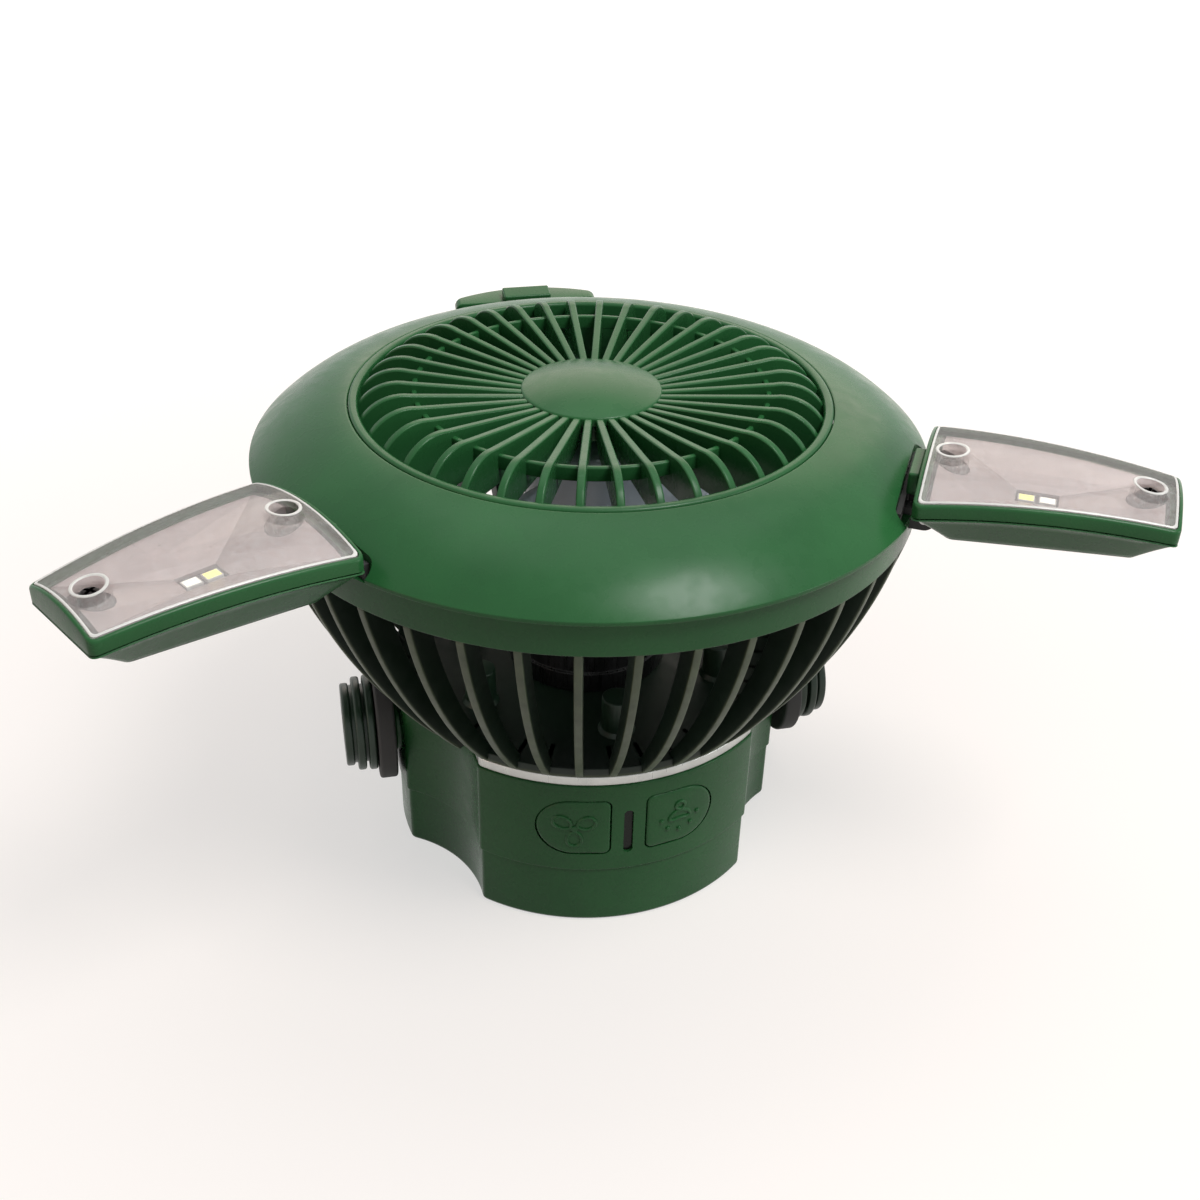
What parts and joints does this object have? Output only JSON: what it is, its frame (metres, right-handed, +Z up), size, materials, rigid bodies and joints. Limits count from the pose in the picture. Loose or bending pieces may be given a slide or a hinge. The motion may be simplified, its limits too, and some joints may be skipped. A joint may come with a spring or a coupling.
{
  "type": "solar camping fan",
  "caption": "Camping fan with a round grilled head on a scalloped base, folding lamp leaves round its rim, push buttons and a swinging bail.",
  "frame": {"origin": "on the fan axis in the plane of the foot", "axes": "+Z up along the fan axis, buttons face -Y, bail pivots along X"},
  "size_m": [0.2286, 0.1706, 0.1182],
  "materials": {
    "green_shell": "satin moulded plastic, forest green",
    "grey_trim": "satin light grey plastic",
    "black_plastic": "matt black plastic",
    "dark_green": "satin dark green plastic",
    "motor_black": "black coated metal can",
    "steel": "bright zinc plated",
    "fan_grey": "satin pale blue-grey plastic",
    "battery_sleeve": "blue sleeved cell",
    "circuit_board": "green solder mask",
    "indicator_smoke": "dark smoked plastic",
    "solar_cell": "dark blue cells under clear resin",
    "clear_cover": "clear acrylic",
    "bright_reflector": "metallised plastic",
    "light_chip": "phosphor gel in a white frame"
  },
  "bodies": {
    "housing": {"back_hinge_bracket": "black_plastic", "base_lower_shell": "green_shell", "base_screws": "steel", "base_upper_shell": "green_shell", "battery_cells": "battery_sleeve", "battery_tray": "black_plastic", "button_switches": "black_plastic", "cage_screws": "steel", "charge_port": "steel", "front_grille": "green_shell", "hinge_pins": "steel", "indicator_window": "indicator_smoke", "left_hinge_bracket": "black_plastic", "main_board": "circuit_board", "motor_can": "motor_black", "motor_screws": "steel", "pivot_screws": "steel", "rear_cage": "green_shell", "right_hinge_bracket": "black_plastic", "solar_panel": "solar_cell", "switch_board": "circuit_board", "top_shroud": "green_shell", "trim_ring": "grey_trim"},
    "rotor": {"impeller": "fan_grey", "motor_shaft": "steel", "shaft_cap": "fan_grey"},
    "bail_body": {"bail": "black_plastic"},
    "left_knob_body": {"left_knob": "dark_green"},
    "right_knob_body": {"right_knob": "dark_green"},
    "fan_button_body": {"fan_button": "green_shell"},
    "light_button_body": {"light_button": "green_shell"},
    "back_leaf": {"back_leaf_tray": "green_shell", "back_leaf_frame": "green_shell", "back_leaf_lens": "clear_cover", "back_leaf_reflector": "bright_reflector", "back_led_board": "circuit_board", "back_led_chips": "light_chip", "back_leaf_screws": "steel"},
    "left_leaf": {"left_leaf_tray": "green_shell", "left_leaf_frame": "green_shell", "left_leaf_lens": "clear_cover", "left_leaf_reflector": "bright_reflector", "left_led_board": "circuit_board", "left_led_chips": "light_chip", "left_leaf_screws": "steel"},
    "right_leaf": {"right_leaf_tray": "green_shell", "right_leaf_frame": "green_shell", "right_leaf_lens": "clear_cover", "right_leaf_reflector": "bright_reflector", "right_led_board": "circuit_board", "right_led_chips": "light_chip", "right_leaf_screws": "steel"}
  },
  "joints": [
    {"name": "fan_spin", "type": "hinge", "parent": "housing", "child": "rotor", "pos_m": [0, 0, 0.095], "axis": [0, 0, 1], "continuous": true},
    {"name": "back_leaf_fold", "type": "hinge", "parent": "housing", "child": "back_leaf", "pos_m": [0, 0.0756, 0.1004], "axis": [-1, 0, 0], "range_deg": [-80, 20]},
    {"name": "left_leaf_fold", "type": "hinge", "parent": "housing", "child": "left_leaf", "pos_m": [-0.06547, -0.0378, 0.1004], "axis": [0.5, -0.866, 0], "range_deg": [0, 100]},
    {"name": "right_leaf_fold", "type": "hinge", "parent": "housing", "child": "right_leaf", "pos_m": [0.06547, -0.0378, 0.1004], "axis": [0.5, 0.866, 0], "range_deg": [0, 100]},
    {"name": "bail_swing", "type": "hinge", "parent": "housing", "child": "bail_body", "pos_m": [0, 0, 0.0305], "axis": [-1, 0, 0], "range_deg": [-8, 190]},
    {"name": "left_knob_turn", "type": "hinge", "parent": "housing", "child": "left_knob_body", "pos_m": [-0.0566, 0, 0.0305], "axis": [-1, 0, 0], "range_deg": [-90, 90]},
    {"name": "right_knob_turn", "type": "hinge", "parent": "housing", "child": "right_knob_body", "pos_m": [0.0566, 0, 0.0305], "axis": [1, 0, 0], "range_deg": [-90, 90]},
    {"name": "fan_button_press", "type": "slide", "parent": "housing", "child": "fan_button_body", "axis": [0, 1, 0], "range_m": [0, 0.0008], "stiffness_N_per_m": 500, "springref_m": -0.0005},
    {"name": "light_button_press", "type": "slide", "parent": "housing", "child": "light_button_body", "axis": [0, 1, 0], "range_m": [0, 0.0008], "stiffness_N_per_m": 500, "springref_m": -0.0005}
  ]
}
